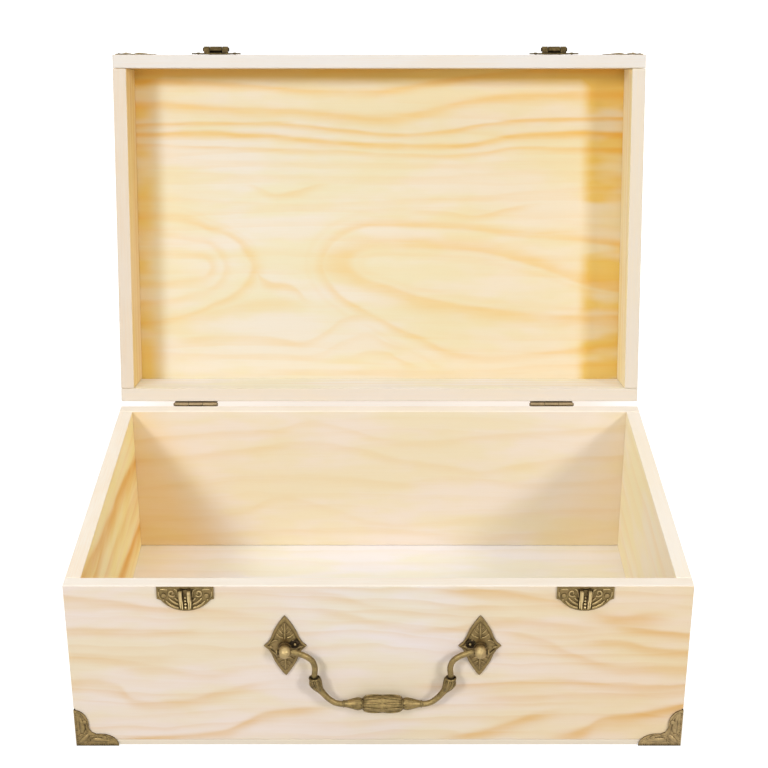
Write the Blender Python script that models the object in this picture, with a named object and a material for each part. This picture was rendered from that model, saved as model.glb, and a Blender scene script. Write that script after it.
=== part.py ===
"""An open wooden keepsake box in the form of a small suitcase, with cast bronze-coloured hardware.

Metres, +Z up. X runs along the width, -Y is the front, and the origin is the middle of the underside.
The lid is modelled shut, round its hinge axis, and the empty that carries it leans it back, open.
Each latch tongue and the handle bail hang from an empty on their own axis.
"""

import math

import bmesh
import bpy
from mathutils import Matrix, Vector

# Box
box_width = 0.300
box_depth = 0.198
body_height = 0.092
lid_height = 0.037
board = 0.0075
panel = 0.003
arris = 0.0004
glue_gap = 0.00015
rim_gap = 0.0004
open_angle = math.radians(104.9)

# Clearances and cuts
seat_gap = 0.0003
fit_gap = 0.0002
overrun = 0.001
merge_distance = 0.000001

# Nails
nail_head_radius = 0.00125
nail_head_height = 0.00045
nail_radius = 0.00055
nail_depth = 0.0055
nail_point = 0.0011

# Metal corners
corner_arm = 0.0212
corner_width = 0.0069
corner_sheet = 0.0006
corner_tip = 0.0088
corner_cusp = 0.0011
corner_cusp_width = 0.0034
corner_nail_in = 0.0049
corner_nail_along = 0.0142

# Latches: the plates share one outline, measured from the rim
latch_width = 0.0272
latch_height = 0.0130
latch_ear = 0.0063
latch_shoulder = 0.0018
latch_shoulder_drop = 0.0007
latch_sheet = 0.0006
latch_border = 0.0008
latch_sink = 0.0002
latch_rim_inset = 0.0003
latch_nail_x = 0.0102
latch_nail_down = 0.0046

# Ribs and keeper on each catch plate
rib_inner = 0.0014
rib_outer = 0.0027
rib_proud = 0.0005
keeper_inner = 0.0013
keeper_outer = 0.0028
keeper_proud = 0.0036
keeper_floor = 0.0010
keeper_margin = 0.0006
keeper_round = 0.0005

# Tongue, its knuckles and its pin, on each hasp plate
knuckle_radius = 0.0017
knuckle_up = 0.0026
knuckle_length = 0.0066
tongue_width = 0.0135
tongue_tip_width = 0.0100
tongue_length = 0.0126
tongue_sheet = 0.0011
tongue_slot_width = 0.0070
tongue_slot_start = 0.0040
tongue_slot_length = 0.0064
tongue_bend = 0.0019
tongue_swing_gap = 0.0004
latch_pin_radius = 0.0008
latch_pin_head = 0.0012

# Handle
handle_span = 0.0938
pivot_out = 0.0065
plate_half_width = 0.0103
plate_half_height = 0.0169
plate_edge = 0.0009
plate_rise = 0.0021
post_spigot_radius = 0.0018
post_collar_radius = 0.0031
post_collar = 0.0006
post_neck_radius = 0.0021
post_ball_radius = 0.0033
post_bore_radius = 0.0013
post_bore_depth = 0.0066
screw_radius = 0.0010
screw_head_radius = 0.0030
screw_head_height = 0.0012
screw_slot_width = 0.0007
screw_slot_depth = 0.0005
bail_drop = 0.0298
bail_pin_radius = 0.00125
bail_button_radius = 0.0019
bail_button = 0.0007
bail_arm_radius = 0.00145
bail_cup_radius = 0.0027
bail_bead_radius = 0.0029
bail_grip_radius = 0.0044
bail_grip_half = 0.0094
bail_bead_length = 0.0096

# Hinges
hinge_width = 0.0244
hinge_leaf = 0.0105
hinge_sheet = 0.0009
hinge_out = 0.0018
hinge_barrel_radius = 0.0013
hinge_pin_radius = 0.0006
hinge_pin_head = 0.0010
hinge_pin_head_length = 0.0005
hinge_stop_near = 0.0019
hinge_stop_far = 0.0036
hinge_nail_x = 0.0075
hinge_nail_down = 0.0066

# Places along the box, as shares of its width and of the body's height
latch_left_share = -0.306
latch_right_share = 0.328
handle_share = 0.0067
handle_rise_share = 0.641
hinge_left_share = -0.356
hinge_right_share = 0.334

# Outlines as shares of the sizes that they follow
plate_side_shares = (
    (0.0, 1.0),
    (0.13, 0.905),
    (0.27, 0.775),
    (0.41, 0.630),
    (0.52, 0.500),
    (0.585, 0.390),
    (0.66, 0.265),
    (0.80, 0.115),
    (1.0, 0.0),
)
plate_ring_shares = (
    (1.0, 0.0),
    (0.94, 0.34),
    (0.87, 0.36),
    (0.82, 0.18),
    (0.70, 0.66),
    (0.56, 0.92),
    (0.42, 1.0),
)
bail_arm_shares = (
    (0.905, 0.0),
    (0.846, 0.035),
    (0.782, 0.085),
    (0.722, 0.165),
    (0.695, 0.290),
    (0.700, 0.425),
    (0.702, 0.480),
)
bail_cup_shares = ((0.702, 0.500), (0.695, 0.560), (0.672, 0.655), (0.632, 0.755))
bail_lower_shares = ((0.570, 0.880), (0.500, 0.972), (0.425, 1.006))
bail_cup_radius_shares = (0.84, 1.0, 0.90, 0.62)
bail_button_shares = ((1.0, 0.70), (0.65, 1.0), (0.0, 1.0))
bail_bead_shares = (
    (1.0, 0.55),
    (0.80, 0.67),
    (0.60, 0.85),
    (0.40, 0.98),
    (0.22, 1.0),
    (0.08, 0.93),
    (0.0, 0.84),
)
bail_grip_shares = ((1.0, 0.68), (0.94, 0.80), (0.80, 0.90), (0.55, 0.97), (0.25, 1.0), (0.0, 1.0))

# Facets
bore_sides = 16
nail_sides = 10
post_sides = 20
barrel_sides = 20
arc_steps = 6
ball_steps = 8
dome_steps = 3
bail_sides = 12
bail_steps = 3
arris_steps = 2
smooth_angle = math.radians(35)

# Places worked out from the sizes above
front_y = -box_depth / 2
back_y = box_depth / 2
latch_left_x = latch_left_share * box_width
latch_right_x = latch_right_share * box_width
handle_x = handle_share * box_width
handle_z = handle_rise_share * body_height
hinge_left_x = hinge_left_share * box_width
hinge_right_x = hinge_right_share * box_width
lid_front_y = -hinge_out - box_depth
lid_rim_z = rim_gap / 2
plate_face = seat_gap + latch_sheet
knuckle_out = plate_face + seat_gap + knuckle_radius
tongue_lip = knuckle_out - seat_gap
stop_angle = (math.pi - open_angle) / 2

bores = {}


def clear_scene():
    """Removes what the scene starts with."""
    for thing in list(bpy.data.objects):
        bpy.data.objects.remove(thing, do_unlink=True)


def make_material(name, colour, roughness, metallic):
    """A Principled BSDF material."""
    made = bpy.data.materials.new(name)
    made.use_nodes = True
    shader = made.node_tree.nodes["Principled BSDF"]
    shader.inputs["Base Color"].default_value = (*colour, 1.0)
    shader.inputs["Roughness"].default_value = roughness
    shader.inputs["Metallic"].default_value = metallic
    return made


def make_empty(name, location, parent=None, turn=0.0):
    """An empty on a joint's axis, turned about X."""
    made = bpy.data.objects.new(name, None)
    bpy.context.scene.collection.objects.link(made)
    made.parent = parent
    made.location = location
    made.rotation_euler = (turn, 0.0, 0.0)
    return made


def make_object(name, mesh, material, parent, location=(0.0, 0.0, 0.0), turn=0.0):
    """Puts a mesh in the scene as one sub-part."""
    made = bpy.data.objects.new(name, mesh)
    bpy.context.scene.collection.objects.link(made)
    made.parent = parent
    made.location = location
    made.rotation_euler = (turn, 0.0, 0.0)
    if material is not None and not mesh.materials:
        mesh.materials.append(material)
    return made


def to_mesh(bm, name, closed=True):
    """Hands the bmesh over to a smooth-shaded mesh, a closed one with its faces turned outward."""
    if closed:
        bmesh.ops.recalc_face_normals(bm, faces=bm.faces)
    mesh = bpy.data.meshes.new(name)
    bm.to_mesh(mesh)
    bm.free()
    mesh.shade_smooth()
    mesh.set_sharp_from_angle(angle=smooth_angle)
    return mesh


def place(u, v, along, across):
    """A point of an outline (u, v) at a distance along the axis that the outline is square to."""
    if across == "X":
        return Vector((along, u, v))
    if across == "Y":
        return Vector((u, along, v))
    return Vector((u, v, along))


def loft(bm, rings):
    """Joins rings of equal counts in turn, and closes the first and the last."""
    loops = [[bm.verts.new(point) for point in ring] for ring in rings]
    for near, far in zip(loops, loops[1:]):
        for i, vert in enumerate(near):
            j = (i + 1) % len(near)
            bm.faces.new((vert, near[j], far[j], far[i]))
    bm.faces.new(loops[0])
    bm.faces.new(reversed(loops[-1]))


def prism(bm, outline, start, end, across):
    """An outline drawn out along an axis."""
    loft(bm, [[place(u, v, along, across) for u, v in outline] for along in (start, end)])


def rectangle(u_low, v_low, u_high, v_high):
    """A rectangle's corners."""
    return [(u_low, v_low), (u_high, v_low), (u_high, v_high), (u_low, v_high)]


def arc(centre_u, centre_v, radius_u, radius_v, start, end, steps):
    """Points on an arc from one angle to another, both ends included."""
    angles = [start + (end - start) * i / steps for i in range(steps + 1)]
    return [(centre_u + radius_u * math.cos(a), centre_v + radius_v * math.sin(a)) for a in angles]


def turned(profile, sides, name):
    """A solid of revolution about Z from (radius, height) points that start and end on the axis."""
    bm = bmesh.new()
    verts = [bm.verts.new((radius, 0.0, height)) for radius, height in profile]
    edges = [bm.edges.new(pair) for pair in zip(verts, verts[1:])]
    bmesh.ops.spin(
        bm,
        geom=verts + edges,
        cent=(0.0, 0.0, 0.0),
        axis=(0.0, 0.0, 1.0),
        angle=2 * math.pi,
        steps=sides,
        use_merge=True,
    )
    bmesh.ops.remove_doubles(bm, verts=bm.verts, dist=merge_distance)
    return to_mesh(bm, name)


def combine(target, bm, operation, location=(0.0, 0.0, 0.0)):
    """Cuts or adds a bmesh, placed in the frame of the target's parent, as a Boolean modifier."""
    name = target.name + "_tool"
    tool = make_object(name, to_mesh(bm, name), None, target.parent, location)
    tool.hide_render = True
    tool.display_type = "WIRE"
    modifier = target.modifiers.new(operation.lower(), "BOOLEAN")
    modifier.operation = operation
    modifier.solver = "EXACT"
    modifier.object = tool


def bore(target_name, location, axis, radius, length):
    """Notes a round hole, centred on a point of the target's own frame, to be cut later."""
    bores.setdefault(target_name, []).append((Vector(location), axis, radius, length))


def cut_bores(objects):
    """Cuts the noted holes, all of one piece with one tool."""
    turns = {
        "X": Matrix.Rotation(math.pi / 2, 4, "Y"),
        "Y": Matrix.Rotation(math.pi / 2, 4, "X"),
        "Z": Matrix.Identity(4),
    }
    for name, holes in bores.items():
        bm = bmesh.new()
        for location, axis, radius, length in holes:
            bmesh.ops.create_cone(
                bm,
                cap_ends=True,
                segments=bore_sides,
                radius1=radius,
                radius2=radius,
                depth=length,
                matrix=Matrix.Translation(location) @ turns[axis],
            )
        combine(objects[name], bm, "DIFFERENCE")


def make_board(name, low, high, material, parent):
    """A board between two corners, with its arrises eased."""
    size = Vector(high) - Vector(low)
    centre = (Vector(high) + Vector(low)) / 2
    bm = bmesh.new()
    bmesh.ops.create_cube(bm, size=1.0, matrix=Matrix.Diagonal((*size, 1.0)))
    bmesh.ops.bevel(
        bm,
        geom=bm.edges[:],
        offset=arris,
        segments=arris_steps,
        profile=0.5,
        affect="EDGES",
    )
    return make_object(name, to_mesh(bm, name), material, parent, centre)


def make_case(names, material, parent, rear_y, low_z, high_z):
    """Four boards: the front and the back run full width, and the sides fit between them."""
    near_y = rear_y - box_depth
    side_x = box_width / 2
    front, back, left, right = names
    made = [
        make_board(front, (-side_x, near_y, low_z), (side_x, near_y + board, high_z), material, parent),
        make_board(back, (-side_x, rear_y - board, low_z), (side_x, rear_y, high_z), material, parent),
    ]
    for name, side in ((left, -1), (right, 1)):
        x_low, x_high = sorted((side * side_x, side * (side_x - board)))
        low = (x_low, near_y + board + glue_gap, low_z)
        high = (x_high, rear_y - board - glue_gap, high_z)
        made.append(make_board(name, low, high, material, parent))
    return made


def make_panel(name, material, parent, rear_y, low_z):
    """The thin sheet glued over one end of a case."""
    low = (-box_width / 2, rear_y - box_depth, low_z)
    high = (box_width / 2, rear_y, low_z + panel)
    return make_board(name, low, high, material, parent)


def nail_mesh():
    """A domed nail about Z, its head's underside just above zero and its point below."""
    dome = arc(0.0, fit_gap, nail_head_radius, nail_head_height, math.pi / 2, 0.0, dome_steps)
    dome[0] = (0.0, fit_gap + nail_head_height)
    shank_end = -nail_depth + nail_point
    profile = dome + [(nail_radius, fit_gap), (nail_radius, shank_end), (0.0, -nail_depth)]
    return turned(profile, nail_sides, "nail")


def drive_nail(name, mesh, material, parent, plate, wood, location, outward):
    """One nail through a plate into the board under it, with its holes noted in both.

    The location is on the plate's outer face, and outward is -1 at the front and 1 at the back.
    """
    x, y, z = location
    made = make_object(name, mesh, material, parent, location, -outward * math.pi / 2)
    reach = nail_depth + overrun
    centre = (x, y - outward * (reach / 2 - overrun), z)
    for target in (plate, wood):
        bore(target, centre, "Y", nail_radius + fit_gap, reach + overrun)
    return made


def corner_outline(arm, width, tip):
    """The L of one flange, from the outer corner: tapered round ends, and a cusp in the angle."""
    along = arc(arm - tip, 0.0, tip, width, 0.0, math.pi / 2, 2 * arc_steps)
    up = [(v, u) for u, v in reversed(along)]
    foot = width + corner_cusp_width
    peak = width + corner_cusp
    inner = [(foot, width), (peak, peak), (width, foot)]
    return [(0.0, 0.0)] + along + inner + up


def make_corner(name, material, parent, corner, side, up):
    """A pressed metal corner with a flange on three faces. Its outer corner is the point given."""
    outline = corner_outline(corner_arm, corner_width, corner_tip)
    x, y, z = corner
    flat = [place(x + side * u, z + up * v, y, "Y") for u, v in outline]
    deep = [place(y + u, z + up * v, x, "X") for u, v in outline]
    level = [place(x + side * u, y + v, z, "Z") for u, v in outline]
    bm = bmesh.new()
    for flange in (flat, deep, level):
        bm.faces.new([bm.verts.new(point) for point in flange])
    bmesh.ops.remove_doubles(bm, verts=bm.verts, dist=merge_distance)
    bmesh.ops.recalc_face_normals(bm, faces=bm.faces)
    front = min(bm.faces, key=lambda face: face.calc_center_median().y)
    if front.normal.y > 0:
        bmesh.ops.reverse_faces(bm, faces=bm.faces)
    made = make_object(name, to_mesh(bm, name, closed=False), material, parent)
    sheet = made.modifiers.new("sheet", "SOLIDIFY")
    sheet.thickness = corner_sheet
    sheet.offset = -1.0
    sheet.use_even_offset = True
    return made


def seat_outline(reach):
    """A flange's outline with clearance, carried past the box's edges on its two straight sides."""
    outline = corner_outline(reach, corner_width + seat_gap, corner_tip)
    return [(-overrun, -overrun), (reach, -overrun)] + outline[1:] + [(-overrun, reach)]


def cut_corner_seats(objects, word, corner, side):
    """Lets two flanges of a foot corner in flush: under the box, and a little longer on its end."""
    depth = corner_sheet + seat_gap
    x, y, z = corner
    reach = corner_arm + seat_gap
    under = [(x + side * u, y + v) for u, v in seat_outline(reach)]
    end = [(y + u, z + v) for u, v in seat_outline(reach + glue_gap)]
    bm = bmesh.new()
    prism(bm, under, z - overrun, z + depth, "Z")
    combine(objects["bottom_panel"], bm, "DIFFERENCE")
    for target in ("bottom_panel", "front_board", f"{word}_board"):
        bm = bmesh.new()
        prism(bm, end, x - side * overrun, x + side * depth, "X")
        combine(objects[target], bm, "DIFFERENCE")


def latch_outline(centre_x, edge_z, way):
    """A half shield: a straight edge near the rim, two ears and an arc, drawn out away from the rim."""
    half = latch_width / 2
    chord = half - latch_shoulder
    shoulder = latch_ear + latch_shoulder_drop
    rise = latch_height - shoulder
    radius = (chord * chord + rise * rise) / (2 * rise)
    sweep = math.asin(chord / radius)
    start = math.pi / 2 - sweep
    end = math.pi / 2 + sweep
    curve = arc(0.0, latch_height - radius, radius, radius, start, end, 2 * arc_steps)
    points = [(-half, 0.0), (half, 0.0), (half, latch_ear)] + curve + [(-half, latch_ear)]
    return [(centre_x + u, edge_z + way * v) for u, v in points]


def make_latch_plate(name, material, parent, centre_x, face_y, edge_z, way):
    """A pressed plate on a front face, its field sunk inside a raised border."""
    bm = bmesh.new()
    prism(bm, latch_outline(centre_x, edge_z, way), face_y - seat_gap, face_y - plate_face, "Y")
    bmesh.ops.recalc_face_normals(bm, faces=bm.faces)
    bm.faces.ensure_lookup_table()
    front = min(bm.faces, key=lambda face: face.calc_center_median().y)
    for width in (latch_border, latch_sink):
        bmesh.ops.inset_region(bm, faces=[front], thickness=width, depth=0.0, use_even_offset=True)
    bmesh.ops.translate(bm, verts=front.verts, vec=(0.0, latch_sink, 0.0))
    return make_object(name, to_mesh(bm, name), material, parent)


def add_keeper(plate, centre_x, axis_z):
    """Two ribs down the catch plate, with two taller cheeks that go through the tongue's slot."""
    face = front_y - plate_face
    root = front_y - seat_gap - latch_sheet / 2
    top = body_height - latch_rim_inset
    ribs = bmesh.new()
    for side in (-1, 1):
        inner, outer = sorted((centre_x + side * rib_inner, centre_x + side * rib_outer))
        low = top - latch_height + latch_border
        prism(ribs, rectangle(inner, low, outer, top - latch_border), root, face - rib_proud, "Y")
    combine(plate, ribs, "UNION")
    high = axis_z - tongue_slot_start - keeper_margin
    low = axis_z - tongue_slot_start - tongue_slot_length + keeper_margin
    out = front_y - seat_gap - keeper_proud
    floor = front_y - seat_gap - keeper_floor
    left = centre_x - keeper_outer
    right = centre_x + keeper_outer
    cheek = keeper_outer - keeper_inner
    trough = [
        (left, root),
        (left, out + keeper_round),
        (left + keeper_round, out),
        (left + cheek, out),
        (left + cheek, floor),
        (right - cheek, floor),
        (right - cheek, out),
        (right - keeper_round, out),
        (right, out + keeper_round),
        (right, root),
    ]
    keeper = bmesh.new()
    prism(keeper, trough, low, high, "Z")
    combine(plate, keeper, "UNION")


def add_lugs(plate, centre_x, axis_y, axis_z):
    """The two knuckles on the hasp plate that hold the tongue's pin."""
    root = axis_y + knuckle_out - seat_gap - latch_sheet / 2
    half_turn = arc(
        axis_y, axis_z, knuckle_radius, knuckle_radius, math.pi / 2, 3 * math.pi / 2, barrel_sides // 2
    )
    outline = half_turn + [(root, axis_z - knuckle_radius), (root, axis_z + knuckle_radius)]
    bm = bmesh.new()
    for side in (-1, 1):
        start = centre_x + side * (knuckle_length / 2 + seat_gap)
        prism(bm, outline, start, centre_x + side * tongue_width / 2, "X")
    combine(plate, bm, "UNION")


def make_tongue(name, material, parent):
    """The hasp tongue, folded back: a knuckle, a slotted sheet and a lip turned towards the lid."""
    half = tongue_sheet / 2
    bend_y = tongue_bend - half
    bend_z = tongue_length - tongue_bend
    inside = tongue_bend - tongue_sheet
    gap_angle = math.asin(half / knuckle_radius)
    knuckle = arc(
        0.0,
        0.0,
        knuckle_radius,
        knuckle_radius,
        math.pi / 2 - gap_angle,
        -3 * math.pi / 2 + gap_angle,
        barrel_sides,
    )
    outer = arc(bend_y, bend_z, tongue_bend, tongue_bend, math.pi, math.pi / 2, arc_steps)
    inner = arc(bend_y, bend_z, inside, inside, math.pi / 2, math.pi, arc_steps)
    lip_end = [(tongue_lip, tongue_length), (tongue_lip, tongue_length - tongue_sheet)]
    profile = knuckle + outer + lip_end + inner
    bm = bmesh.new()
    prism(bm, profile, -tongue_width / 2, tongue_width / 2, "X")
    made = make_object(name, to_mesh(bm, name), material, parent)
    shoulder = knuckle_radius + tongue_swing_gap
    wide = tongue_width / 2 + overrun
    low = -knuckle_radius - overrun
    high = tongue_length + overrun
    reach = tongue_lip + overrun
    slot_half = tongue_slot_width / 2
    slot_end = tongue_slot_start + tongue_slot_length
    cuts = bmesh.new()
    for side in (-1, 1):
        waste = [
            (side * knuckle_length / 2, low),
            (side * wide, low),
            (side * wide, high),
            (side * tongue_tip_width / 2, high),
            (side * tongue_width / 2, shoulder),
            (side * knuckle_length / 2, shoulder),
        ]
        prism(cuts, waste, -reach, reach, "Y")
    slot = rectangle(-slot_half, tongue_slot_start, slot_half, slot_end)
    prism(cuts, slot, -reach, reach, "Y")
    combine(made, cuts, "DIFFERENCE")
    bore(name, (0.0, 0.0, 0.0), "X", latch_pin_radius + fit_gap, knuckle_length + overrun)
    return made


def pin_mesh(name, radius, head_radius, half_length, head_length):
    """A pin about Z with a low domed head on both ends."""
    top = half_length + fit_gap + head_length
    seat = half_length + fit_gap
    half = [(0.0, top), (head_radius - head_length / 2, top), (head_radius, seat), (radius, seat)]
    profile = half + [(r, -z) for r, z in reversed(half)]
    return turned(profile, nail_sides, name)


def make_pin(name, mesh, material, parent, location):
    """Lays a pin along X."""
    made = make_object(name, mesh, material, parent, location)
    made.rotation_euler = (0.0, math.pi / 2, 0.0)
    return made


def handle_plate_outline(share):
    """A diamond with waved sides, scaled about its middle."""
    quarter = [(u * plate_half_width, v * plate_half_height) for u, v in plate_side_shares]
    right = quarter + [(u, -v) for u, v in reversed(quarter[:-1])]
    left = [(-u, v) for u, v in reversed(right[1:-1])]
    return [(share * u, share * v) for u, v in right + left]


def make_handle_plate(name, material, parent, x):
    """The diamond under a handle post: a raised border, a groove and a dome with a flat middle."""
    rings = [[place(x + u, handle_z + v, front_y - seat_gap, "Y") for u, v in handle_plate_outline(1.0)]]
    for share, height_share in plate_ring_shares:
        out = front_y - seat_gap - plate_edge - (plate_rise - plate_edge) * height_share
        rings.append([place(x + u, handle_z + v, out, "Y") for u, v in handle_plate_outline(share)])
    bm = bmesh.new()
    loft(bm, rings)
    return make_object(name, to_mesh(bm, name), material, parent)


def post_profile():
    """The post about Z, from its ball down to the end of its spigot and back up its bore."""
    seat = seat_gap + plate_rise + fit_gap
    neck = seat + post_collar
    neck_angle = -math.acos(post_neck_radius / post_ball_radius)
    ball = arc(0.0, pivot_out, post_ball_radius, post_ball_radius, math.pi / 2, neck_angle, ball_steps)
    ball[0] = (0.0, pivot_out + post_ball_radius)
    tail = -board + fit_gap
    return ball + [
        (post_neck_radius, neck),
        (post_collar_radius, neck),
        (post_collar_radius, seat),
        (post_spigot_radius, seat),
        (post_spigot_radius, tail),
        (post_bore_radius, tail),
        (post_bore_radius, tail + post_bore_depth),
        (0.0, tail + post_bore_depth),
    ]


def cut_screw_slot(screw, centre_x, face_y):
    """The driver's slot across a screw's head."""
    low = handle_z - screw_slot_width / 2
    top = face_y + fit_gap + screw_head_height
    left = centre_x - screw_head_radius - overrun
    bm = bmesh.new()
    slot = rectangle(left, low, left + 2 * (screw_head_radius + overrun), low + screw_slot_width)
    prism(bm, slot, top - screw_slot_depth, top + overrun, "Y")
    combine(screw, bm, "DIFFERENCE")


def screw_mesh():
    """The screw about Z, its head down inside the box and its shank up in the post's bore."""
    low = -fit_gap
    dome = arc(0.0, low, screw_head_radius, screw_head_height, 0.0, -math.pi / 2, dome_steps)
    dome[-1] = (0.0, low - screw_head_height)
    end = post_bore_depth - fit_gap
    profile = [(0.0, end), (screw_radius, end), (screw_radius, low)] + dome
    return turned(profile, post_sides, "handle_screw")


def spline(points, steps):
    """A smooth curve through points that may carry more values than two, ends included."""
    padded = [points[0]] + list(points) + [points[-1]]
    made = []
    for a, b, c, d in zip(padded, padded[1:], padded[2:], padded[3:]):
        for i in range(steps):
            t = i / steps
            made.append(
                tuple(
                    0.5 * (2 * q + (r - p) * t + (2 * p - 5 * q + 4 * r - s) * t * t
                           + (3 * q - p - 3 * r + s) * t * t * t)
                    for p, q, r, s in zip(a, b, c, d)
                )
            )
    return made + [tuple(points[-1])]


def bail_stations():
    """Half of the bail, from its button to the middle of its grip, as (x, z, radius)."""
    half = handle_span / 2
    seat = half + post_ball_radius + fit_gap
    neck = half - post_ball_radius - fit_gap
    button = [(seat + u * bail_button, 0.0, v * bail_button_radius) for u, v in bail_button_shares]
    pin = [(seat, 0.0, bail_pin_radius), (neck, 0.0, bail_pin_radius)]
    arm = [(u * half, -v * bail_drop, bail_arm_radius) for u, v in bail_arm_shares]
    cup = [
        (u * half, -v * bail_drop, bail_cup_radius * share)
        for (u, v), share in zip(bail_cup_shares, bail_cup_radius_shares)
    ]
    lower = [(u * half, -v * bail_drop, bail_arm_radius) for u, v in bail_lower_shares]
    line = spline([(x, z) for x, z, _ in arm + cup + lower], bail_steps)
    radii = spline([(r,) for _, _, r in arm], bail_steps)[:-1]
    radii += [(bail_arm_radius,)] * bail_steps
    cup_and_lower = spline([(r,) for _, _, r in cup + lower], bail_steps)
    curve = [(x, z, r[0]) for (x, z), r in zip(line, radii + cup_and_lower)]
    bead = [
        (bail_grip_half + u * bail_bead_length, -bail_drop, bail_bead_radius * v)
        for u, v in bail_bead_shares
    ]
    grip = [
        (u * bail_grip_half, -bail_drop, bail_grip_radius * v) for u, v in bail_grip_shares
    ]
    return button + pin + curve + bead + grip


def make_bail(name, material, parent):
    """The bail, hung from its pins: a round section of changing size along one flat curve."""
    half = bail_stations()
    stations = half + [(-x, z, r) for x, z, r in reversed(half[:-1])]
    rings = []
    for i, (x, z, radius) in enumerate(stations):
        before = Vector(stations[max(i - 1, 0)][:2])
        after = Vector(stations[min(i + 1, len(stations) - 1)][:2])
        along = (after - before).normalized()
        angles = [2 * math.pi * k / bail_sides for k in range(bail_sides)]
        rings.append(
            [
                Vector(
                    (
                        x - along.y * radius * math.cos(a),
                        radius * math.sin(a),
                        z + along.x * radius * math.cos(a),
                    )
                )
                for a in angles
            ]
        )
    bm = bmesh.new()
    loft(bm, rings)
    return make_object(name, to_mesh(bm, name), material, parent)


def make_leaf(name, material, parent, centre, way, knuckles):
    """A hinge leaf on the back, way 1 up the lid or -1 down the body, with its knuckles and its stop.

    The stop is a nose along the leaf. The two noses meet, on the line midway between the leaves,
    when the lid leans back by the open angle.
    """
    near = -hinge_out + seat_gap
    far = near + hinge_sheet
    clear = hinge_barrel_radius + seat_gap
    root = clear + hinge_sheet
    line = Vector((math.sin(stop_angle), math.cos(stop_angle)))
    off = Vector((-line.y, line.x)) * seat_gap / 2
    nose_near = line * hinge_stop_near + off
    nose_far = line * hinge_stop_far + off
    foot = 2 * hinge_stop_near
    outline = [
        (near, clear),
        (far, clear),
        tuple(nose_near),
        tuple(nose_far),
        (far, foot),
        (far, hinge_leaf),
        (near, hinge_leaf),
    ]
    left = -hinge_width / 2
    bm = bmesh.new()
    prism(bm, [(u, way * v) for u, v in outline], left, -left, "X")
    made = make_object(name, to_mesh(bm, name), material, parent, centre)
    rise = math.sqrt(hinge_barrel_radius**2 - far * far)
    ring = arc(
        0.0, 0.0, hinge_barrel_radius, hinge_barrel_radius, math.pi, -math.pi, barrel_sides
    )
    ring = [point for point in ring[1:] if not (point[0] < far and point[1] > 0)]
    outline = [(near, root), (far, root), (far, rise)] + ring
    barrels = bmesh.new()
    for start, end in knuckles:
        prism(barrels, [(u, way * v) for u, v in outline], left + start, left + end, "X")
    combine(made, barrels, "UNION", centre)
    return made


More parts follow.
